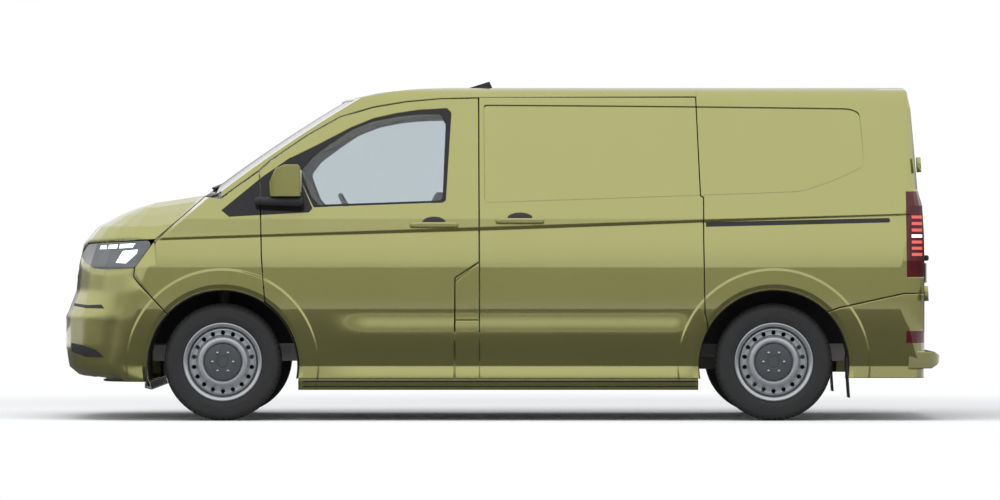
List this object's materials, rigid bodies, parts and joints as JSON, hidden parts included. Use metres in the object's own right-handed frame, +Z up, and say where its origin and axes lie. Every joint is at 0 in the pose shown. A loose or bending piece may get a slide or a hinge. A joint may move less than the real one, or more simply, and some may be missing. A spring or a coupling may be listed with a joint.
{
  "type": "panel van",
  "caption": "Mid-size panel van with a short sloping bonnet, cab doors, sliding side doors and rear wing doors, hollow cab and load space, and steered front wheels.",
  "frame": {"origin": "on the ground under the middle of the van", "axes": "+X to the rear (the van faces -X), +Y to its right side, +Z up"},
  "size_m": [4.9709, 2.2582, 1.933],
  "materials": {
    "paint": "glossy",
    "windscreen_glass": "glossy",
    "side_glass": "glossy",
    "rear_glass": "glossy",
    "lamp_clear": "glossy",
    "lamp_red": "glossy",
    "black_plastic": "satin",
    "liner_plastic": "matte",
    "tank_plastic": "matte",
    "dash_plastic": "matte",
    "seat_fabric": "matte",
    "inner_steel": "satin",
    "chassis_steel": "satin",
    "cast_iron": "matte",
    "engine_block": "matte",
    "wheel_silver": "satin",
    "rubber": "matte"
  },
  "bodies": {
    "body": {"antenna": "black_plastic", "arch_liners": "liner_plastic", "bulkhead": "inner_steel", "cowl": "black_plastic", "dashboard": "dash_plastic", "driver_seat": "seat_fabric", "engine": "engine_block", "fenders": "paint", "filler_panel": "paint", "floor": "inner_steel", "front_bumper": "paint", "front_structure": "inner_steel", "front_suspension": "chassis_steel", "fuel_tank": "tank_plastic", "grille": "black_plastic", "headlamps": "lamp_clear", "passenger_seat": "seat_fabric", "pillars": "inner_steel", "quarter_panels": "paint", "rear_axle": "cast_iron", "rear_bumper": "paint", "rear_frame": "inner_steel", "roof_panel": "paint", "roof_rails": "paint", "sills": "paint", "sliding_door_left": "paint", "sliding_door_right": "paint", "tail_lamps": "lamp_red", "windscreen": "windscreen_glass"},
    "front_door_left": {"front_door_left": "paint", "door_glass_left": "side_glass", "mirror_left": "paint"},
    "front_door_right": {"front_door_right": "paint", "door_glass_right": "side_glass", "mirror_right": "paint"},
    "rear_door_left": {"rear_door_left": "paint", "rear_glass_left": "rear_glass"},
    "rear_door_right": {"rear_door_right": "paint", "rear_glass_right": "rear_glass"},
    "bonnet": {"bonnet": "paint"},
    "filler_flap": {"filler_flap": "paint"},
    "steering_wheel": {"steering_wheel": "dash_plastic"},
    "knuckle_left": {"knuckle_left": "cast_iron"},
    "knuckle_right": {"knuckle_right": "cast_iron"},
    "wheel_front_left": {"tyre_front_left": "rubber", "rim_front_left": "wheel_silver"},
    "wheel_front_right": {"tyre_front_right": "rubber", "rim_front_right": "wheel_silver"},
    "wheel_rear_left": {"tyre_rear_left": "rubber", "rim_rear_left": "wheel_silver"},
    "wheel_rear_right": {"tyre_rear_right": "rubber", "rim_rear_right": "wheel_silver"}
  },
  "joints": [
    {"name": "front_door_left_hinge", "type": "hinge", "parent": "body", "child": "front_door_left", "pos_m": [-1.347, -1.018, 0.8], "axis": [0, 0, -1], "range_deg": [0, 70]},
    {"name": "front_door_right_hinge", "type": "hinge", "parent": "body", "child": "front_door_right", "pos_m": [-1.347, 1.018, 0.8], "axis": [0, 0, 1], "range_deg": [0, 70]},
    {"name": "rear_door_left_hinge", "type": "hinge", "parent": "body", "child": "rear_door_left", "pos_m": [2.405, -0.934, 0.712], "axis": [0.0609, -0.0392, -0.9974], "range_deg": [0, 170]},
    {"name": "rear_door_right_hinge", "type": "hinge", "parent": "body", "child": "rear_door_right", "pos_m": [2.405, 0.934, 0.712], "axis": [-0.0609, -0.0392, 0.9974], "range_deg": [0, 170]},
    {"name": "bonnet_hinge", "type": "hinge", "parent": "body", "child": "bonnet", "pos_m": [-1.648, 0, 1.262], "axis": [0, 1, 0], "range_deg": [0, 55]},
    {"name": "filler_flap_hinge", "type": "hinge", "parent": "body", "child": "filler_flap", "pos_m": [-0.24504, -1.0134, 0.7], "axis": [0, 0, -1], "range_deg": [0, 85]},
    {"name": "steer_left", "type": "hinge", "parent": "body", "child": "knuckle_left", "pos_m": [-1.555, -0.8, 0.33], "axis": [0, 0, 1], "range_deg": [-33, 33]},
    {"name": "steer_right", "type": "hinge", "parent": "body", "child": "knuckle_right", "pos_m": [-1.555, 0.8, 0.33], "axis": [0, 0, 1], "range_deg": [-33, 33]},
    {"name": "steering_column", "type": "hinge", "parent": "body", "child": "steering_wheel", "pos_m": [-0.8172, -0.42, 1.10682], "axis": [0.8829, 0, 0.4695], "range_deg": [-495, 495]},
    {"name": "wheel_front_left_spin", "type": "hinge", "parent": "knuckle_left", "child": "wheel_front_left", "pos_m": [-1.555, -0.865, 0.33], "axis": [0, 1, 0], "continuous": true},
    {"name": "wheel_front_right_spin", "type": "hinge", "parent": "knuckle_right", "child": "wheel_front_right", "pos_m": [-1.555, 0.865, 0.33], "axis": [0, 1, 0], "continuous": true},
    {"name": "wheel_rear_left_spin", "type": "hinge", "parent": "body", "child": "wheel_rear_left", "pos_m": [1.545, -0.865, 0.33], "axis": [0, 1, 0], "continuous": true},
    {"name": "wheel_rear_right_spin", "type": "hinge", "parent": "body", "child": "wheel_rear_right", "pos_m": [1.545, 0.865, 0.33], "axis": [0, 1, 0], "continuous": true}
  ],
  "couplings": [
    {"joint": "steer_right", "follows": "steer_left", "ratio": 1},
    {"joint": "steering_column", "follows": "steer_left", "ratio": 15}
  ]
}
